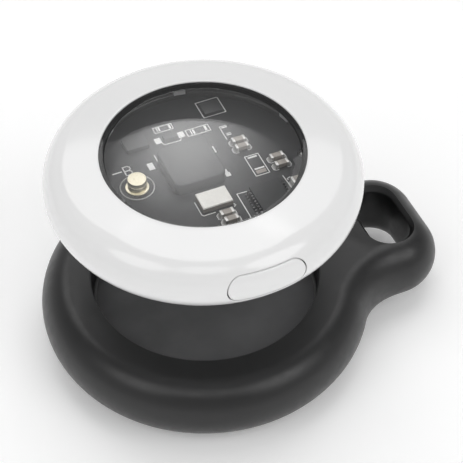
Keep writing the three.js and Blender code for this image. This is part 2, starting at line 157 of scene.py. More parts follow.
def plastic(name, colour, roughness, spread=0.05, coat=0.0, orange_peel=0.15, speckle=0.06):
    """Moulded plastic: faint cloudiness, uneven polish and a fine skin."""
    made = Shader(name, colour, roughness, Coat_Weight=coat, Coat_Roughness=0.08, IOR=1.5)
    clouds = made.noise(0.12, detail=5)
    made.feed(made.ramp(clouds, shade_of(colour, 1 - speckle), colour), "Base Color")
    polish = made.noise(0.9, detail=6, roughness=0.6)
    made.feed(made.ramp(polish, max(roughness - spread, 0.02), roughness + spread), "Roughness")
    made.bump(
        (made.noise(0.55, detail=2), 0.12 * orange_peel, 0.02),
        (made.noise(14, detail=4), 0.1 * orange_peel, 0.004),
    )
    return made.material


def silicone(name, colour, roughness, shine):
    """Near-black moulded silicone with a satin skin, fine grain and a trace of dust."""
    made = Shader(name, colour, roughness, IOR=1.5, Specular_IOR_Level=shine)
    dust = made.noise(7.0, detail=8, roughness=0.75)
    clouds = made.noise(0.09, detail=4)
    base = made.ramp(clouds, shade_of(colour, 0.8), shade_of(colour, 1.2))
    mix = made.tree.nodes.new("ShaderNodeMix")
    mix.data_type = "RGBA"
    mix.inputs["B"].default_value = (0.04, 0.04, 0.04, 1)
    made.tree.links.new(made.ramp(dust, 0.0, 0.25, 0.72, 0.88), mix.inputs["Factor"])
    made.tree.links.new(base, mix.inputs["A"])
    made.feed(mix.outputs["Result"], "Base Color")
    polish = made.noise(1.1, detail=6, roughness=0.65)
    made.feed(made.ramp(polish, roughness - 0.04, roughness + 0.06), "Roughness")
    made.bump(
        (made.noise(1.6, detail=3), 0.04, 0.02),
        (made.noise(26, detail=3), 0.1, 0.006),
    )
    return made.material


def clear_window():
    """Polished clear plastic with only a trace of smudging in its tint."""
    made = Shader("clear_window", (0.99, 0.99, 0.99), 0.0, Transmission_Weight=1.0, IOR=1.49)
    made.feed(made.ramp(made.noise(0.5, detail=5), 0.97, 0.995), "Base Color")
    return lit_through(made)


def lit_through(made):
    """Lets lamp light pass a clear piece instead of casting a solid shadow."""
    tree = made.tree
    path = tree.nodes.new("ShaderNodeLightPath")
    clear = tree.nodes.new("ShaderNodeBsdfTransparent")
    clear.inputs["Color"].default_value = (0.9, 0.9, 0.9, 1)
    mix = tree.nodes.new("ShaderNodeMixShader")
    tree.links.new(path.outputs["Is Shadow Ray"], mix.inputs[0])
    tree.links.new(made.shader.outputs["BSDF"], mix.inputs[1])
    tree.links.new(clear.outputs["BSDF"], mix.inputs[2])
    tree.links.new(mix.outputs["Shader"], tree.nodes["Material Output"].inputs["Surface"])
    return made.material


def milky_clear():
    """Frosted clear plastic of the snap tabs."""
    made = Shader("clear_tabs", (0.42, 0.425, 0.43), 0.35, Transmission_Weight=0.35, IOR=1.45)
    made.feed(made.ramp(made.noise(1.0, detail=4), 0.3, 0.4), "Roughness")
    return lit_through(made)


def solder_mask():
    """Dark grey board: buried copper shows as faint tone steps under an even gloss."""
    colour = (0.030, 0.0305, 0.032)
    made = Shader("board_mask", colour, 0.28, IOR=1.5)
    copper = made.noise(0.3, detail=0.5)
    made.feed(made.ramp(copper, colour, shade_of(colour, 1.18), 0.46, 0.54), "Base Color")
    made.feed(made.ramp(made.noise(1.2, detail=2), 0.29, 0.3), "Roughness")
    return made.material


def metal(name, colour, roughness, brushed=(1, 1, 1), spread=0.08):
    """Metal whose grain varies its shade and its polish; brushed stretches the grain."""
    made = Shader(name, colour, roughness, Metallic=1.0)
    grain = made.noise(4.0, detail=6, roughness=0.7, stretch=brushed)
    made.feed(made.ramp(grain, shade_of(colour, 0.93), colour), "Base Color")
    made.feed(made.ramp(grain, max(roughness - spread, 0.05), roughness + spread), "Roughness")
    made.bump((grain, 0.04, 0.002))
    return made.material


def ceramic(name, colour, roughness):
    """Fired ceramic with a fine speckle."""
    made = Shader(name, colour, roughness, IOR=1.55)
    speckle = made.noise(2.5, detail=7, roughness=0.7)
    made.feed(made.ramp(speckle, shade_of(colour, 0.9), colour), "Base Color")
    made.feed(made.ramp(made.noise(6.0, detail=4), roughness - 0.06, roughness + 0.08), "Roughness")
    made.bump((made.noise(22, detail=4), 0.12, 0.004))
    return made.material


finish = {
    "holder_silicone": silicone("holder_silicone", (0.0045, 0.0045, 0.0048), 0.35, 0.6),
    # The pocket floor is the holder's silicone made much lighter: painted light that keeps the floor bright
    # in the tag's shade.
    "pocket_floor_painted_light": silicone("pocket_floor_painted_light", (0.10, 0.10, 0.102), 0.7, 0.2),
    "white_shell": plastic("white_shell", (0.84, 0.84, 0.84), 0.16, 0.03, coat=0.5, speckle=0.012),
    "clear_window": clear_window(),
    "clear_tabs": milky_clear(),
    "black_plastic": plastic("black_plastic", (0.004, 0.004, 0.0045), 0.22, 0.05),
    "ring_black": plastic("ring_black", (0.012, 0.012, 0.0125), 0.4, 0.05, coat=1.0),
    "board_mask": solder_mask(),
    "chip_black": plastic("chip_black", (0.038, 0.0385, 0.040), 0.34, 0.05, orange_peel=0.4),
    "driver_black": plastic("driver_black", (0.034, 0.0345, 0.036), 0.55, 0.05, orange_peel=0.4),
    "cream_ceramic": ceramic("cream_ceramic", (0.80, 0.785, 0.745), 0.38),
    "package_side": ceramic("package_side", (0.14, 0.125, 0.105), 0.5),
    "capacitor_body": ceramic("capacitor_body", (0.33, 0.30, 0.27), 0.42),
    "tinned_ends": metal("tinned_ends", (0.72, 0.71, 0.69), 0.34),
    "gold_plate": metal("gold_plate", (0.88, 0.82, 0.64), 0.3, spread=0.03),
    # Tinned leads given a dark metal colour: painted shade for the shaded strip along the driver chip's
    # sides.
    "leads_painted_shade": metal("leads_painted_shade", (0.16, 0.16, 0.16), 0.4),
    "steel": metal("steel", (0.56, 0.57, 0.59), 0.3),
    "cell_can": metal("cell_can", (0.6, 0.61, 0.63), 0.28, brushed=(1, 12, 1)),
    "brass_sheet": metal("brass_sheet", (0.62, 0.44, 0.18), 0.32),
    "copper_foil": metal("copper_foil", (0.62, 0.3, 0.18), 0.3),
    "seal_rubber": plastic("seal_rubber", (0.018, 0.018, 0.018), 0.6, 0.08, orange_peel=0.6),
    "silk_ink": plastic("silk_ink", (0.78, 0.78, 0.77), 0.5, 0.08, orange_peel=0.8, speckle=0.1),
}


# ---------- shape helpers ----------

def clean_mesh(name, points, faces, lift):
    """A mesh in metres from points in millimetres, with merged points and outward normals."""
    mesh = bpy.data.meshes.new(name)
    mesh.from_pydata([(x * MM, y * MM, (z + lift) * MM) for x, y, z in points], [], faces)
    joined = bmesh.new()
    joined.from_mesh(mesh)
    bmesh.ops.remove_doubles(joined, verts=joined.verts, dist=MERGE_DISTANCE)
    bmesh.ops.recalc_face_normals(joined, faces=joined.faces)
    joined.to_mesh(mesh)
    joined.free()
    return mesh


def make_mesh(name, points, faces, material, body, slot, sharp, lift=0.0):
    """A smooth-shaded piece from points in millimetres, riding on a body."""
    return dress(name, clean_mesh(name, points, faces, lift), material, body, sharp)


def dress(name, mesh, material, body, sharp):
    """Turns a mesh into a piece; edges sharper than the angle stay sharp."""
    mesh.shade_smooth()
    mesh.set_sharp_from_angle(angle=math.radians(sharp))
    piece = bpy.data.objects.new(name, mesh)
    bpy.context.scene.collection.objects.link(piece)
    mesh.materials.append(material)
    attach(piece, body)
    return piece


def arc(centre, level, radius, start, end, steps):
    """Points of an arc, both ends included, angles in degrees."""
    angles = [math.radians(start + (end - start) * i / steps) for i in range(steps + 1)]
    return [(centre + radius * math.cos(a), level + radius * math.sin(a)) for a in angles]


def rounded(corners, steps=6):
    """A closed outline whose corners (x, y, radius) are rounded off."""
    outline = []
    for i, (x, y, radius) in enumerate(corners):
        here = Vector((x, y))
        before = Vector(corners[i - 1][:2]) - here
        after = Vector(corners[(i + 1) % len(corners)][:2]) - here
        if radius <= 0:
            outline.append((x, y))
            continue
        half = before.angle(after) / 2
        reach = min(radius / math.tan(half), before.length * 0.49, after.length * 0.49)
        start, end = here + before.normalized() * reach, here + after.normalized() * reach
        way = [k / steps for k in range(steps + 1)]
        outline += [tuple(start.lerp(here, t).lerp(here.lerp(end, t), t)) for t in way]
    return outline


def revolved(outline, turns=384):
    """Points and faces of a closed (radius, height) outline turned about Z."""
    turns //= FINE
    count = len(outline)
    points, faces = [], []
    for i in range(turns):
        angle = 2 * math.pi * i / turns
        points += [(r * math.cos(angle), r * math.sin(angle), z) for r, z in outline]
    for i in range(turns):
        here, there = i * count, (i + 1) % turns * count
        for j in range(count):
            k = (j + 1) % count
            on_axis = outline[j][0] < ON_AXIS and outline[k][0] < ON_AXIS
            if on_axis:
                continue
            faces.append((here + j, there + j, there + k, here + k))
    return points, faces


def stacked(levels):
    """Closed solid through level outlines [(points, z)] that have the same point count."""
    count = len(levels[0][0])
    points = [(x, y, z) for outline, z in levels for x, y in outline]
    faces = []
    for level in range(len(levels) - 1):
        for i in range(count):
            a, b = level * count + i, level * count + (i + 1) % count
            faces.append((a, b, b + count, a + count))
    last = (len(levels) - 1) * count
    faces.append(tuple(reversed(range(count))))
    faces.append(tuple(range(last, last + count)))
    return points, faces


def plain_object(points, faces, lift=0.0):
    """A bare object used as a cutter or as the base of a cut."""
    made = bpy.data.objects.new("blank", clean_mesh("blank", points, faces, lift))
    bpy.context.scene.collection.objects.link(made)
    return made


def cut_mesh(base, cutters):
    """The base with every cutter taken away, as a new mesh with no materials; the inputs are removed."""
    for cutter in cutters:
        modifier = base.modifiers.new("cut", "BOOLEAN")
        modifier.operation = "DIFFERENCE"
        modifier.solver = "EXACT"
        modifier.object = cutter
    graph = bpy.context.evaluated_depsgraph_get()
    mesh = bpy.data.meshes.new_from_object(base.evaluated_get(graph))
    mesh.materials.clear()
    for spare in (base, *cutters):
        bpy.data.objects.remove(spare, do_unlink=True)
    return mesh


def prism(loop, start, end):
    """Points and faces of an (x, z) loop drawn out along Y."""
    count = len(loop)
    points = [(x, y, z) for y in (start, end) for x, z in loop]
    faces = [(i, (i + 1) % count, (i + 1) % count + count, i + count) for i in range(count)]
    faces += [tuple(range(count)), tuple(range(2 * count - 1, count - 1, -1))]
    return points, faces


def box_shape(centre, size, radius, steps=3):
    """Points and faces of a box; a radius above 0 rounds its edges."""
    shape = bmesh.new()
    bmesh.ops.create_cube(shape, size=1.0)
    for vert in shape.verts:
        vert.co = Vector([c + v * s for c, v, s in zip(centre, vert.co, size)])
    if radius:
        bmesh.ops.bevel(
            shape, geom=shape.edges[:], offset=radius, segments=steps, profile=0.5, affect="EDGES"
        )
    shape.verts.ensure_lookup_table()
    points = [tuple(vert.co) for vert in shape.verts]
    faces = [tuple(vert.index for vert in face.verts) for face in shape.faces]
    shape.free()
    return points, faces


def merged(shapes):
    """One list of points and faces from several."""
    points, faces = [], []
    for more_points, more_faces in shapes:
        offset = len(points)
        points += more_points
        faces += [tuple(offset + i for i in face) for face in more_faces]
    return points, faces


# ---------- holder ----------

def holder_outline(inset, steps=24):
    """Outline of the ring, its two neck curves and the key loop, moved inwards by inset."""
    neck_y = LOOP_HALF_WIDTH + NECK_RADIUS
    neck_x = math.sqrt((HOLDER_RADIUS + NECK_RADIUS) ** 2 - neck_y ** 2)
    neck_angle = math.degrees(math.atan2(neck_y, neck_x))
    corner_x, corner_y = LOOP_REACH - LOOP_CORNER, LOOP_HALF_WIDTH - LOOP_CORNER
    straight_end = [(LOOP_REACH - inset, corner_y * i / 6) for i in range(6)]
    side_y = LOOP_HALF_WIDTH - inset
    side = [(corner_x + (neck_x - corner_x) * i / 4, side_y) for i in range(1, 4)]
    upper = (
        straight_end
        + arc(corner_x, corner_y, LOOP_CORNER - inset, 0, 90, steps)
        + side
        + arc(neck_x, neck_y, NECK_RADIUS + inset, 270, 180 + neck_angle, steps)
        + arc(0, 0, HOLDER_RADIUS - inset, neck_angle, 180, 120)[1:]
    )
    lower = [(x, -y) for x, y in upper[1:-1]][::-1]
    return upper + lower


def hole_outline(grow, steps=40):
    """Outline of the key loop's slot, moved outwards by grow."""
    radius, straight = HOLE_HALF_WIDTH + grow, HOLE_HALF_LENGTH - HOLE_HALF_WIDTH
    return (
        arc(HOLE_CENTRE, straight, radius, 0, 180, steps)
        + arc(HOLE_CENTRE, -straight, radius, 180, 360, steps)
    )


def quarter(inset, rise, flat, wall, steps):
    """(offset, z) from a flat face round to a vertical wall."""
    way = 1 if flat > wall else -1
    angles = [math.pi / 2 * (1 - i / steps) for i in range(steps + 1)]
    return [(inset * (1 - math.cos(a)), wall + way * rise * math.sin(a)) for a in angles]


def holder_skin():
    lower = quarter(HOLDER_BASE_INSET, HOLDER_WIDEST, 0, HOLDER_WIDEST, 28)
    upper = quarter(HOLDER_TOP_INSET, HOLDER_HEIGHT - HOLDER_WIDEST, HOLDER_HEIGHT, HOLDER_WIDEST, 28)[::-1]
    return plain_object(*stacked([(holder_outline(offset), z) for offset, z in lower + upper[1:]]))


def pocket_cutter():
    corner = POCKET_CORNER
    lip = 0.22
    return plain_object(*revolved(
        [(0, POCKET_FLOOR)]
        + arc(POCKET_RADIUS - corner, POCKET_FLOOR + corner, corner, -90, 0, 8)
        + arc(POCKET_RADIUS + lip, HOLDER_HEIGHT - lip, lip, 180, 90, 6)
        + [(POCKET_RADIUS + lip, HOLDER_HEIGHT + 2), (0, HOLDER_HEIGHT + 2)]
    ))


def hole_cutter():
    """The key loop's slot, flared below and chamfered above, from its growth at each height."""
    lip = 0.12
    foot, top, reach = HOLDER_HEIGHT - HOLE_CHAMFER_RISE, HOLDER_HEIGHT, HOLE_CHAMFER_INSET
    steps = [(HOLE_FLARE_INSET, -1)] + quarter(HOLE_FLARE_INSET, HOLE_FLARE_RISE, 0, HOLE_FLARE_RISE, 16)
    steps += [(0, foot - lip), (0.02, foot - lip / 3), (0.08, foot + lip / 2)]
    steps += [(reach - 0.07, top - lip), (reach, top - lip / 4)]
    steps += [(reach + 0.1, top + 0.02), (reach + 0.1, top + 1)]
    return plain_object(*stacked([(hole_outline(grow), z) for grow, z in steps]))


def holder_piece():
    mesh = cut_mesh(holder_skin(), [pocket_cutter(), hole_cutter()])
    piece = dress("holder_skin", mesh, finish["holder_silicone"], "holder", 38)
    # The pocket floor's faces take the lighter silicone, which is painted light on the floor under the tag.
    mesh.materials.append(finish["pocket_floor_painted_light"])
    for face in mesh.polygons:
        at = face.center / MM
        if abs(at.z - POCKET_FLOOR) < 0.01 and math.hypot(at.x, at.y) < POCKET_RADIUS - POCKET_CORNER:
            face.material_index = 1
    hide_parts("holder_body")


# ---------- casing ----------

def rim_point(tube_radius, degrees):
    """(radius, height) of a point at an angle round the casing's rounded rim."""
    angle = math.radians(degrees)
    return RIM_CENTRE + tube_radius * math.cos(angle), RIM_LEVEL + tube_radius * math.sin(angle)


def casing_skin(end_angle, steps):
    """Outer profile from the window's lip over the crown and round the rim to an angle."""
    meet = math.radians(CROWN_MEETS_RIM)
    crown_x = RIM_CENTRE - (CROWN_RADIUS - RIM_RADIUS) * math.cos(meet)
    crown_z = RIM_LEVEL - (CROWN_RADIUS - RIM_RADIUS) * math.sin(meet)
    lip = 0.09
    edge_angle = math.degrees(math.acos((WINDOW_RADIUS + lip - crown_x) / CROWN_RADIUS))
    crown = arc(crown_x, crown_z, CROWN_RADIUS, edge_angle, CROWN_MEETS_RIM, 16)
    edge = arc(crown[0][0], crown[0][1] - lip, lip, 180, 90, 6)[:-1]
    return edge + crown + arc(RIM_CENTRE, RIM_LEVEL, RIM_RADIUS, CROWN_MEETS_RIM, end_angle, steps)[1:]


def pill_ring(grow, steps=48):
    """Outline of the button's slot shape in x and height, drawn outwards by grow."""
    radius, straight = BUTTON_HALF_HEIGHT + grow, BUTTON_HALF_LENGTH - BUTTON_HALF_HEIGHT
    sweep = arc(straight, BUTTON_LEVEL, radius, -90, 90, steps)
    back = arc(-straight, BUTTON_LEVEL, radius, 90, 270, steps)
    run = [i / 20 for i in range(1, 20)]
    top = [(straight - 2 * straight * t, BUTTON_LEVEL + radius) for t in run]
    bottom = [(-straight + 2 * straight * t, BUTTON_LEVEL - radius) for t in run]
    return sweep + top + back + bottom


def rim_depth(x, level, sink=0.0):
    """y of the casing's round edge on the button side at the given x and level."""
    height = level - RIM_LEVEL
    radius = RIM_CENTRE - sink + math.sqrt(RIM_RADIUS ** 2 - height ** 2)
    return -math.sqrt(radius ** 2 - x ** 2)


def on_rim(ring, sink=0.0):
    """Points of an (x, height) ring laid on the casing's round edge, or sunk below it."""
    return [(x, rim_depth(x, z, sink), z) for x, z in ring]


def ribbon(rings):
    """Quads between rings of points that have the same count."""
    count = len(rings[0])
    points = [point for ring in rings for point in ring]
    faces = []
    for level in range(len(rings) - 1):
        for i in range(count):
            a, b = level * count + i, level * count + (i + 1) % count
            faces.append((a, b, b + count, a + count))
    return points, faces


def fillet_rings(edge_sign, radius, steps=6):
    """(grow, sink) of rings round an edge of the slot, from its wall to the casing's surface."""
    rings = []
    for i in range(steps + 1):
        angle = math.pi / 2 * i / steps
        grow = radius * (1 - math.cos(angle))
        sink = radius * (1 - math.sin(angle))
        rings.append((edge_sign * grow, sink))
    return rings


def wall_rings(grow):
    """Rings of the button slot's vertical wall, from the casing's inside outwards."""
    depths = (WALL, 0.5, 0.15)
    return [[(x, rim_depth(x, z) + depth, z) for x, z in pill_ring(grow)] for depth in depths]


def bezel_piece():
    """Upper casing with its window opening and a patch left out round the button."""
    bead = 0.06
    skin_end = SEAM_ANGLE + 1.1
    inside = arc(RIM_CENTRE, RIM_LEVEL, RIM_RADIUS - WALL, SEAM_ANGLE, 110, 40)
    seam = arc(*rim_point(RIM_RADIUS - bead, skin_end), bead, SEAM_ANGLE, SEAM_ANGLE - 90, 4)
    outline = casing_skin(skin_end, 96) + seam + inside + [(12.6, -0.95), (WINDOW_RADIUS, -0.8)]
    shell = plain_object(*revolved(outline, 480), lift=WINDOW_PLANE)
    slot = pill_ring(BUTTON_PATCH)
    points, faces = ribbon([[(x, y, z) for x, z in slot] for y in (-14.2, -18.0)])
    faces.append(tuple(range(len(slot), 2 * len(slot))))
    faces.append(tuple(reversed(range(len(slot)))))
    cutter = plain_object(points, faces, lift=WINDOW_PLANE)
    mesh = cut_mesh(shell, [cutter])
    piece = dress("bezel_skin", mesh, finish["white_shell"], "tag", 40)
    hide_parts("bezel_shell")


def button_surround():
    """Fills the opening cut in the bezel back to the button's slot, with a rounded edge."""
    edge = [on_rim(pill_ring(grow), sink) for grow, sink in fillet_rings(1, 0.07)]
    reach = [on_rim(pill_ring(grow)) for grow in (0.12, 0.2, BUTTON_PATCH)]
    surround = ribbon(wall_rings(0) + edge + reach)
    make_mesh(
        "button_surround", *surround, finish["white_shell"], "tag", "white_shell", 60, lift=WINDOW_PLANE
    )


def button_piece():
    """Button cap that follows the casing's round edge."""
    fillet = 0.1
    edge = [on_rim(pill_ring(-BUTTON_GAP + grow), sink) for grow, sink in fillet_rings(-1, fillet)]
    inner_reach = BUTTON_HALF_HEIGHT - BUTTON_GAP - fillet
    face = [on_rim(pill_ring(-BUTTON_GAP - fillet - inner_reach * i / 16)) for i in range(1, 17)]
    cap = ribbon(wall_rings(-BUTTON_GAP) + edge + face)
    piece = make_mesh(
        "button_face", *cap, finish["white_shell"], "button", "white_shell", 60, lift=WINDOW_PLANE
    )
    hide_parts("button_cap")


def base_piece():
    """Lower casing: a plug inside the bezel, the rim's underside, the boss and the battery well."""
    mating = SEAM_ANGLE - 2.6
    outer = arc(RIM_CENTRE, RIM_LEVEL, RIM_RADIUS, mating, -90, 24)
    foot = RIM_LEVEL - RIM_RADIUS
    outline = [(13.65, -4.6), (14.45, -4.6), (14.45, -5.56), rim_point(RIM_RADIUS - WALL, mating)] + outer
    outline += rounded([
        (BOSS_RADIUS + 0.6, foot, 0), (BOSS_RADIUS, foot, 0.3), (BOSS_RADIUS, BOSS_BOTTOM, 0.3),
        (10.95, BOSS_BOTTOM, 0.1), (10.95, -8.95, 0), (11.75, -8.95, 0), (11.75, -8.25, 0), (10.6, -8.25, 0),
        (10.6, -5.6, 0), (12.2, -5.6, 0), (12.2, -6.0, 0), (13.65, -6.0, 0),
    ])
    shell = plain_object(*revolved(outline), lift=WINDOW_PLANE)
    notch = plain_object(*box_shape(NOTCH_CENTRE, NOTCH_SIZE, 0), lift=WINDOW_PLANE)
    mesh = cut_mesh(shell, [notch])
    piece = dress("base_skin", mesh, finish["white_shell"], "tag", 40)
    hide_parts("base_shell")


def lens_piece():
    """Domed disc with a hidden flange, and the tabs that stand below its edge."""
    dome = [(0, 0.1), (2, 0.09), (4, 0.066), (6, 0.024), (8, -0.036), (9.6, -0.098)]
    edge = [(10.4, -0.14)] + arc(10.83, -0.21, 0.05, 90, 0, 4)
    flange = [(10.88, -1.0), (12.2, -1.0), (12.2, -1.4), (10.6, -1.4), (10.3, -0.98), (9.6, -0.95)]
    under = [(radius, height - LENS_THICKNESS) for radius, height in dome[4::-1]]
    outline = dome + edge + flange + under
    piece = make_mesh(
        "lens_clear", *revolved(outline), finish["clear_window"], "tag", "clear_window", 30, lift=WINDOW_PLANE
    )
    piece.data.materials.append(finish["black_plastic"])
    for face in piece.data.polygons:
        at = face.center / MM
        if math.hypot(at.x, at.y) > LENS_CLEAR_RADIUS and at.z < WINDOW_PLANE - 0.4:
            face.material_index = 1
    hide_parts("window_lens")

    tabs = []
    for middle in TAB_ANGLES:
        inner = arc(0, 0, 10.72, middle - TAB_HALF_ANGLE, middle + TAB_HALF_ANGLE, 8)
        outer = arc(0, 0, 11.12, middle + TAB_HALF_ANGLE, middle - TAB_HALF_ANGLE, 8)
        tabs.append(stacked([(inner + outer, -2.05), (inner + outer, -1.45)]))
    make_mesh(
        "lens_tabs", *merged(tabs), finish["clear_tabs"], "tag", "clear_window", 40, lift=WINDOW_PLANE
    )


def chassis_piece():
    """Black ring round the board, with a bead that stands in sight below the window's edge."""
    bead = rounded([(11.34, -2.66, 0), (11.18, -2.54, 0.04), (11.18, -2.42, 0.03), (11.34, -2.3, 0)])
    outline = [(11.34, -3.15)] + bead + rounded([
        (11.34, -1.6, 0), (11.34, -1.5, 0.05), (12.4, -1.5, 0.05),
        (12.7, -1.95, 0), (13.4, -1.95, 0.1), (13.4, -3.15, 0),
    ])
    ring = revolved(outline)
    piece = make_mesh(
        "chassis_skin", *ring, finish["ring_black"], "tag", "black_plastic", 30, lift=WINDOW_PLANE
    )
    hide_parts("chassis_ring")


def door_piece():
    """Battery door with a coin slot cut in its face."""
    outline = rounded([
        (0, DOOR_BOTTOM, 0), (DOOR_RADIUS, DOOR_BOTTOM, 0.3), (DOOR_RADIUS, DOOR_TOP, 0.12),
        (10.7, DOOR_TOP, 0), (10.7, -8.4, 0.1), (10.3, -8.4, 0.1), (10.3, -9.0, 0), (0, -9.0, 0),
    ])
    plate = plain_object(*revolved(outline), lift=WINDOW_PLANE)
    straight, radius = 5.0, 1.0
    slot = arc(straight, 0, radius, -90, 90, 24) + arc(-straight, 0, radius, 90, 270, 24)
    floor = DOOR_BOTTOM + 0.7
    steps = [(0.35, DOOR_BOTTOM - 0.5), (0.2, DOOR_BOTTOM - 0.02), (0.06, DOOR_BOTTOM + 0.06)]
    steps += [(0, DOOR_BOTTOM + 0.16), (0, floor - 0.1), (-0.06, floor - 0.02), (-0.15, floor)]

    def grown(amount):
        scale = (radius + amount) / radius
        ends = [math.copysign(straight, x) for x, y in slot]
        return [(end + (x - end) * scale, y * scale) for end, (x, y) in zip(ends, slot)]

    cutter = plain_object(*stacked([(grown(amount), z) for amount, z in steps]), lift=WINDOW_PLANE)
    mesh = cut_mesh(plate, [cutter])
    piece = dress("door_skin", mesh, finish["white_shell"], "door", 40)
    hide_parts("battery_door")


def seal_piece():
    """Round rubber ring between the door and the boss."""
    outline = arc(11.25, (DOOR_TOP + BOSS_BOTTOM) / 2, 0.16, 0, 360, 20)[:-1]
    piece = make_mesh(
        "seal_ring", *revolved(outline), finish["seal_rubber"], "door", "seal_rubber", 60, lift=WINDOW_PLANE
    )
    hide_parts("door_seal")


# ---------- circuit board ----------

INK = 0.03  # height of printed ink and bare pads
EDGE_PAD = (10.6, -1.95)  # round test pad beside the board's edge
CAPACITORS = [f"capacitor_{index}" for index in range(1, 7)]
ink_level = node_box("circuit_board")[1].z


def strip(x0, x1, y0, y1):
    """A printed patch on the board between two corners."""
    centre = ((x0 + x1) / 2, (y0 + y1) / 2, ink_level + INK / 2)
    return box_shape(centre, (x1 - x0, y1 - y0, INK), 0)


def printed_path(points, width=0.09):
    """Ink line through points; each leg is its own thin strip."""
    legs = []
    for (x0, y0), (x1, y1) in zip(points, points[1:]):
        along = Vector((x1 - x0, y1 - y0)).normalized() * width / 2
        across = Vector((-along.y, along.x))
        start, end = Vector((x0, y0)) - along, Vector((x1, y1)) + along
        corners = [start - across, end - across, end + across, start + across]
        flat = [(c.x, c.y) for c in corners]
        legs.append(stacked([(flat, ink_level), (flat, ink_level + INK)]))
    return merged(legs)


def printed_box(x0, x1, y0, y1, width=0.1):
    return printed_path([(x0, y0), (x1, y0), (x1, y1), (x0, y1), (x0, y0)], width)


def printed_ring(x, y, radius, width=0.1):
    return printed_path(arc(x, y, radius, 0, 360, 40), width)


def bracket(name, margin=0.28):
    """Rounded ink outline on both ends of a small two-ended part."""
    low, high = node_box(name)
    x0, x1, y0, y1 = low.x - margin, high.x + margin, low.y - 0.1, high.y + 0.1
    lines = []
    for end, way in ((x0, 1), (x1, -1)):
        reach = end + way * 0.5
        bend = end + way * 0.2
        corners = [(reach, y0), (bend, y0), (end, y0 + 0.2), (end, y1 - 0.2), (bend, y1), (reach, y1)]
        lines.append(printed_path(corners))
    return merged(lines)


def letter_b(x, y, height=1.3, line=0.13):
    """Generic polarity letter drawn upwards from its lower left corner."""
    half, bowl, width, corner = height / 2, 0.5, 0.72, 0.18
    shapes = [printed_path([(x, y), (x, y + height)], line)]
    for foot in (y, y + half):
        lobe = [(x, foot), (x + bowl, foot), (x + width, foot + corner), (x + width, foot + half - corner)]
        lobe += [(x + bowl, foot + half), (x, foot + half)]
        shapes.append(printed_path(lobe, line))
    return merged(shapes)


def silk_lines():
    """Printed outlines of the parts, the ring of the terminal post and its polarity mark."""
    crystal_low, crystal_high = node_box("crystal")
    driver_low, driver_high = node_box("driver_chip")
    post = node_middle("terminal_post")
    crystal_side, crystal_foot = crystal_low.x - 0.22, crystal_low.y - 0.25
    driver_side = driver_low.x - 0.7
    shapes = [
        printed_box(3.15, 5.75, 7.3, 9.8),
        printed_box(-2.6, -0.5, 7.1, 7.95, 0.08),
        printed_path([(-2.45, 5.45), (-2.35, 5.12), (-0.5, 5.05), (-0.35, 5.3)], 0.09),
        printed_box(0.5, 3.1, 5.25, 6.25, 0.08),
        printed_path([(4.85, 5.3), (4.1, 5.3), (4.1, 3.2)], 0.08),
        printed_box(4.72, 6.27, -3.12, -0.02, 0.09),
        printed_path([(7.3, -4.15), (7.42, -6.35)], 0.1),
        printed_path([(7.55, -4.9), (7.55, -4.7), (7.9, -4.6)], 0.09),
        printed_path([
            (driver_low.x + 0.35, driver_high.y + 0.15),
            (driver_side, driver_high.y + 0.2),
            (driver_side, driver_low.y - 0.3),
        ], 0.1),
        printed_path([
            (crystal_side, crystal_high.y - 0.5),
            (crystal_side, crystal_low.y - 0.05),
            (crystal_low.x - 0.05, crystal_foot),
            (crystal_low.x + 1.2, crystal_foot),
        ], 0.1),
        printed_path([
            (crystal_high.x + 0.1, crystal_low.y + 0.1),
            (crystal_high.x + 0.2, crystal_low.y - 0.1),
            (crystal_high.x + 0.02, crystal_foot),
        ], 0.1),
        printed_path([(-3.95, 4.0), (-3.95, 3.1)], 0.12),
        printed_ring(post.x, post.y, 1.78, 0.14),
        printed_ring(*EDGE_PAD, 0.42),
        printed_path([(10.75, -2.6), (11.0, -2.95)], 0.1),
        printed_path([(post.x - 1.65, post.y + 2.75), (post.x - 0.75, post.y + 2.75)], 0.14),
    ]
    shapes += [bracket(name) for name in CAPACITORS]
    shapes.append(letter_b(post.x - 0.42, post.y + 2.0))
    return merged(shapes)


def bare_pads():
    """Tinned pads that carry no part, or that stick out from under one: x from and to, y from and to."""
    pads = [
        (-2.3, -2.18, 7.3, 7.85), (-2.08, -1.9, 7.3, 7.85), (-0.92, -0.68, 7.25, 7.85),
        (-3.12, -2.42, 5.5, 6.35), (-0.5, 0.22, 5.45, 6.3),
        (0.95, 1.07, 5.4, 6.1), (1.2, 1.4, 5.4, 6.1), (2.55, 2.8, 5.45, 6.15),
        (4.25, 4.9, 5.0, 5.15), (4.35, 4.9, 4.0, 4.1), (4.35, 4.9, 3.75, 3.88),
        (4.98, 6.02, -0.42, -0.2), (4.98, 6.08, -2.22, -2.02),
        (1.93, 2.35, 1.85, 2.9), (1.85, 2.4, -1.95, -1.4), (1.95, 2.25, -1.45, -0.85),
        (-5.2, -4.55, 2.1, 3.15),
    ]
    ring_dot = arc(*EDGE_PAD, 0.24, 0, 360, 24)[:-1]
    shapes = [strip(*pad) for pad in pads]
    shapes.append(stacked([(ring_dot, ink_level), (ring_dot, ink_level + INK)]))
    return merged(shapes)


def board_pieces():
    """The board with its ink, its bare pads and one printed resistor."""
    low, high = node_box("circuit_board")
    radius, top, bottom = high.x, high.z, low.z
    outline = rounded([(0, bottom, 0), (radius, bottom, 0.06), (radius, top, 0.06), (0, top, 0)], 3)
    piece = make_mesh("board_plate", *revolved(outline), finish["board_mask"], "tag", "board_mask", 30)
    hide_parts("circuit_board")
    make_mesh("board_ink", *silk_lines(), finish["silk_ink"], "tag", "cream_ceramic", 30)
    make_mesh("board_pads", *bare_pads(), finish["silk_ink"], "tag", "steel", 30)
    resist = strip(4.98, 6.08, -2.85, -2.35)
    make_mesh("board_resist", *resist, finish["capacitor_body"], "tag", "capacitor_body", 30)


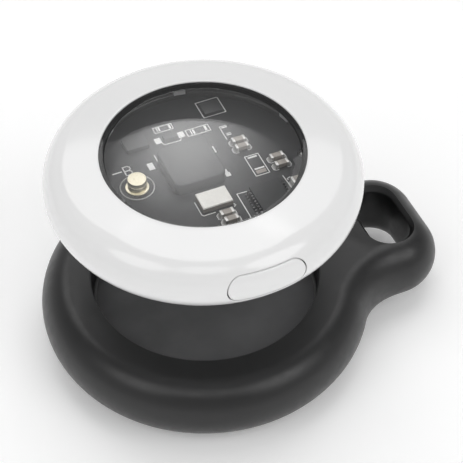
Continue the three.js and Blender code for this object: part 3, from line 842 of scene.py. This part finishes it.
def rounded_block(name, corner, round_over):
    """Chip package of a node's size with rounded corners and a rounded top edge."""
    low, high = node_box(name)
    middle = (low + high) / 2
    half = (high - low) / 2
    levels = [(0, low.z), (0, high.z - round_over)]
    angles = [math.pi / 2 * i / 8 for i in range(1, 9)]
    levels += [(-round_over * (1 - math.cos(a)), high.z - round_over * (1 - math.sin(a))) for a in angles]

    def outline(grow):
        radius = max(corner + grow, 0.01)
        x, y = half.x + grow - radius, half.y + grow - radius
        turns = ((x, y, 0), (-x, y, 90), (-x, -y, 180), (x, -y, 270))
        return [
            (middle.x + px, middle.y + py)
            for cx, cy, start in turns
            for px, py in arc(cx, cy, radius, start, start + 90, 12)
        ]

    shape = stacked([(outline(grow), z) for grow, z in levels])
    piece = make_mesh(f"{name}_block", *shape, finish["chip_black"], "tag", "chip_black", 40)
    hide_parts(name)


def crystal_piece():
    """Ceramic package with a cream lid that is a little smaller."""
    low, high = node_box("crystal")
    middle, size = (low + high) / 2, high - low
    lid_height = 0.2
    base_size = (size.x, size.y, size.z - lid_height)
    lid_size = (size.x - 0.06, size.y - 0.06, lid_height)
    base = box_shape((middle.x, middle.y, low.z + base_size[2] / 2), base_size, 0.05)
    lid = box_shape((middle.x, middle.y, high.z - lid_height / 2), lid_size, 0.03)
    piece = make_mesh("crystal_base", *base, finish["package_side"], "tag", "cream_ceramic", 40)
    make_mesh("crystal_lid", *lid, finish["cream_ceramic"], "tag", "cream_ceramic", 40)
    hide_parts("crystal")


def two_ended_piece(name):
    """Small ceramic part with tinned ends and a solder fillet at each end."""
    low, high = node_box(name)
    middle, size = (low + high) / 2, high - low
    end = size.x * 0.2
    body = box_shape(middle, (size.x - 2 * end + 0.08, size.y - 0.04, size.z - 0.03), 0.03)
    ends = [
        box_shape((middle.x + way * (size.x - end) / 2, middle.y, middle.z), (end, size.y, size.z), 0.05)
        for way in (-1, 1)
    ]
    feet = []
    fillet = [(-0.02, -0.05), (0.2, -0.05), (0.12, 0.03), (0.04, 0.12), (-0.02, 0.28)]
    for way in (-1, 1):
        x = middle.x + way * size.x / 2
        loop = [(x + way * out, low.z + up) for out, up in fillet]
        feet.append(prism(loop, middle.y - size.y * 0.45, middle.y + size.y * 0.45))
    slot = "chip_black" if name == "inductor" else "capacitor_body"
    piece = make_mesh(f"{name}_body", *body, finish["capacitor_body"], "tag", slot, 40)
    make_mesh(f"{name}_ends", *merged(ends + feet), finish["tinned_ends"], "tag", "steel", 40)
    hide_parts(name)


def post_piece():
    """Turned battery terminal: a foot through the board, a flange and a grooved head."""
    middle = node_middle("terminal_post")
    base, top = ink_level, node_box("terminal_post")[1].z
    corners = [
        (0, base - 0.6, 0), (0.5, base - 0.6, 0), (0.5, base, 0),
        (1.25, base, 0), (1.25, base + 0.1, 0.04), (1.0, base + 0.12, 0.02),
        (1.0, base + 0.66, 0.05), (0.92, base + 0.69, 0.02), (0.92, base + 0.76, 0.02),
        (1.0, base + 0.79, 0.05), (1.0, top, 0.07), (0, top, 0),
    ]
    points, faces = revolved(rounded(corners), 192)
    points = [(x + middle.x, y + middle.y, z) for x, y, z in points]
    piece = make_mesh("terminal_post_pin", points, faces, finish["gold_plate"], "tag", "gold_plate", 35)
    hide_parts("terminal_post")


def driver_piece():
    """Leaded package with a row of bent leads on each side."""
    low, high = node_box("driver_chip")
    leads, pitch, lead_reach, lead_thickness, lead_half_width = 9, 0.4, 0.55, 0.08, 0.09
    stand_off, body_round = 0.12, 0.06
    middle = (low + high) / 2
    body_low, body_high = low.x + lead_reach, high.x - lead_reach
    body_middle = (middle.x, middle.y, (low.z + stand_off + high.z) / 2)
    body_size = (body_high - body_low, high.y - low.y, high.z - low.z - stand_off)
    body = box_shape(body_middle, body_size, body_round)
    wing = [(0.0, 0.46), (0.16, 0.46), (0.24, 0.4), (0.3, 0.1), (0.36, 0.03), (lead_reach, 0.0)]
    legs = []
    for i in range(leads):
        y = middle.y + (i - (leads - 1) / 2) * pitch
        for way, edge in ((-1, body_low), (1, body_high)):
            line = [(edge + way * x, low.z + z) for x, z in wing]
            loop = line + [(x, z + lead_thickness) for x, z in reversed(line)]
            legs.append(prism(loop, y - lead_half_width, y + lead_half_width))
    piece = make_mesh("driver_body", *body, finish["driver_black"], "tag", "chip_black", 40)
    # The leads' dark metal is painted shade along the package's sides.
    make_mesh("driver_leads", *merged(legs), finish["leads_painted_shade"], "tag", "steel", 40)
    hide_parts("driver_chip")


# ---------- finishes of the CAD nodes that stay ----------

def dress_cad_nodes():
    """Gives every CAD node the finish of its own material slot."""
    slot_of = {part["node"]: part["material_slot"] for part in frame["record"]["subparts"]}
    for name, node in frame["nodes"].items():
        material = finish[slot_of[name]]
        if node.material_slots:
            for slot in node.material_slots:
                slot.material = material
        else:
            node.data.materials.append(material)


# ---------- stage ----------

AZIMUTH, ELEVATION, DISTANCE = -23.5, 46.94, 183.4  # of the camera, in degrees and millimetres
AIM = Vector((4.0, 1.74, 11.4))
LENS, SENSOR = 126.7, 36
LIGHT_TARGET = 0.015  # height on the axis that the lamps face, in metres


def direction(azimuth, elevation):
    """Unit vector from the object towards a compass azimuth and an elevation."""
    turn, rise = math.radians(azimuth), math.radians(elevation)
    return Vector((math.sin(turn) * math.cos(rise), math.cos(turn) * math.cos(rise), math.sin(rise)))


def aim_down(thing, azimuth, elevation, distance, height):
    """Puts a lamp or panel in a direction from a point on the object's axis, facing that point."""
    towards = direction(azimuth, elevation)
    thing.location = towards * distance + Vector((0, 0, height))
    thing.rotation_euler = towards.to_track_quat("Z", "Y").to_euler()
    bpy.context.scene.collection.objects.link(thing)


def make_camera():
    """Camera that looks down at the tag from the button's side."""
    data = bpy.data.cameras.new("camera")
    data.lens, data.sensor_width = LENS, SENSOR
    data.clip_start, data.clip_end = 0.01, 10
    camera = bpy.data.objects.new("camera", data)
    camera.location = (AIM + direction(180 - AZIMUTH, ELEVATION) * DISTANCE) * MM
    camera.rotation_euler = (math.radians(90 - ELEVATION), 0, math.radians(AZIMUTH))
    bpy.context.scene.collection.objects.link(camera)
    bpy.context.scene.camera = camera


def area_light(name, azimuth, elevation, distance, size, power):
    """Soft round light at a compass direction seen from the object, aimed at it; lengths in metres."""
    data = bpy.data.lights.new(name, "AREA")
    data.shape, data.size, data.energy = "DISK", size, power
    aim_down(bpy.data.objects.new(name, data), azimuth, elevation, distance, LIGHT_TARGET)


def glow_panel(name, azimuth, elevation, distance, radius, strength, hot_spot, spread):
    """Round diffuser that faces the window; its glow falls off like a bell from hot_spot.

    hot_spot and spread are in the panel's own plane, in metres.
    """
    sides = 96
    mesh = bpy.data.meshes.new(name)
    rim = arc(0, 0, radius, 0, 360, sides)[:-1]
    mesh.from_pydata([(x, y, 0) for x, y in rim], [], [tuple(range(sides))])
    mesh.materials.append(bell_glow(name, strength, hot_spot, spread))
    aim_down(bpy.data.objects.new(name, mesh), azimuth, elevation, distance, WINDOW_PLANE * MM)


def bell_glow(name, strength, hot_spot, spread):
    """Emission of strength * e ** (-d * d / 2), d being the distance from hot_spot over spread."""
    material = bpy.data.materials.new(name)
    material.use_nodes = True
    tree = material.node_tree
    tree.nodes.clear()
    place = tree.nodes.new("ShaderNodeTexCoord")
    mapping = tree.nodes.new("ShaderNodeMapping")
    mapping.vector_type = "TEXTURE"
    mapping.inputs["Location"].default_value = (*hot_spot, 0)
    mapping.inputs["Scale"].default_value = (*spread, 1)
    square = tree.nodes.new("ShaderNodeVectorMath")
    square.operation = "DOT_PRODUCT"
    half = tree.nodes.new("ShaderNodeMath")
    half.operation = "MULTIPLY"
    half.inputs[1].default_value = -0.5
    bell = tree.nodes.new("ShaderNodeMath")
    bell.operation = "POWER"
    bell.inputs[0].default_value = math.e
    gain = tree.nodes.new("ShaderNodeMath")
    gain.operation = "MULTIPLY"
    gain.inputs[1].default_value = strength
    glow = tree.nodes.new("ShaderNodeEmission")
    output = tree.nodes.new("ShaderNodeOutputMaterial")
    link = tree.links.new
    link(place.outputs["Object"], mapping.inputs["Vector"])
    link(mapping.outputs["Vector"], square.inputs[0])
    link(mapping.outputs["Vector"], square.inputs[1])
    link(square.outputs["Value"], half.inputs[0])
    link(half.outputs["Value"], bell.inputs[1])
    link(bell.outputs["Value"], gain.inputs[0])
    link(gain.outputs["Value"], glow.inputs["Strength"])
    link(glow.outputs["Emission"], output.inputs["Surface"])
    return material


def make_floor():
    """Plain white floor, a hair below the holder's base."""
    floor = bpy.data.meshes.new("floor")
    reach, drop = 1.5, 0.0002
    corners = [(-reach, -reach, 0), (reach, -reach, 0), (reach, reach, 0), (-reach, reach, 0)]
    floor.from_pydata(corners, [], [(0, 1, 2, 3)])
    plane = bpy.data.objects.new("floor", floor)
    plane.location.z = -drop
    bpy.context.scene.collection.objects.link(plane)
    white = Shader("floor_white", (0.94, 0.94, 0.94), 0.7, Emission_Strength=0.14)
    white.shader.inputs["Emission Color"].default_value = (1, 1, 1, 1)
    floor.materials.append(white.material)


def make_world():
    """Pale surroundings, brighter near the ground and darker overhead."""
    world = bpy.data.worlds.new("studio")
    bpy.context.scene.world = world
    world.use_nodes = True
    sky = world.node_tree
    place = sky.nodes.new("ShaderNodeTexCoord")
    split = sky.nodes.new("ShaderNodeSeparateXYZ")
    bands = sky.nodes.new("ShaderNodeValToRGB")
    for element, (height, level) in zip(bands.color_ramp.elements, ((0.36, 0.62), (0.5, 0.4))):
        element.position = height
        element.color = (level, level, level, 1)
    sky.links.new(place.outputs["Generated"], split.inputs["Vector"])
    sky.links.new(split.outputs["Z"], bands.inputs["Fac"])
    sky.links.new(bands.outputs["Color"], sky.nodes["Background"].inputs["Color"])


def make_lights():
    """Lamps by azimuth, elevation, distance, size and power; behind is straight away from the camera."""
    behind = -AZIMUTH
    glow_panel("window_glow", behind - 2.7, 49.9, 0.8, 0.134, 3.3, (0.006, -0.095), (0.05, 0.066))
    area_light("top_box", behind, 73, 0.8, 0.49, 1.1)
    area_light("rear_left_box", behind - 31, 48, 0.8, 0.37, 0.5)
    area_light("rear_right_box", behind + 27, 50, 0.8, 0.37, 0.42)
    area_light("left_box", behind - 130, 46, 0.8, 0.46, 0.85)
    area_light("right_box", behind + 123, 45, 0.8, 0.48, 1.15)
    area_light("front_box", behind + 180, 57, 0.9, 0.4, 0.5)


# ---------- build ----------

make_camera()
dress_cad_nodes()
holder_piece()
bezel_piece()
button_surround()
button_piece()
base_piece()
lens_piece()
chassis_piece()
door_piece()
seal_piece()
board_pieces()
rounded_block("radio_chip", corner=0.8, round_over=0.2)
for chip in ("memory_chip", "motion_sensor", "filter_chip"):
    rounded_block(chip, corner=0.08, round_over=0.05)
crystal_piece()
for part_name in (*CAPACITORS, "inductor"):
    two_ended_piece(part_name)
post_piece()
driver_piece()
make_floor()
make_world()
make_lights()
bpy.context.scene.view_settings.view_transform = "Standard"
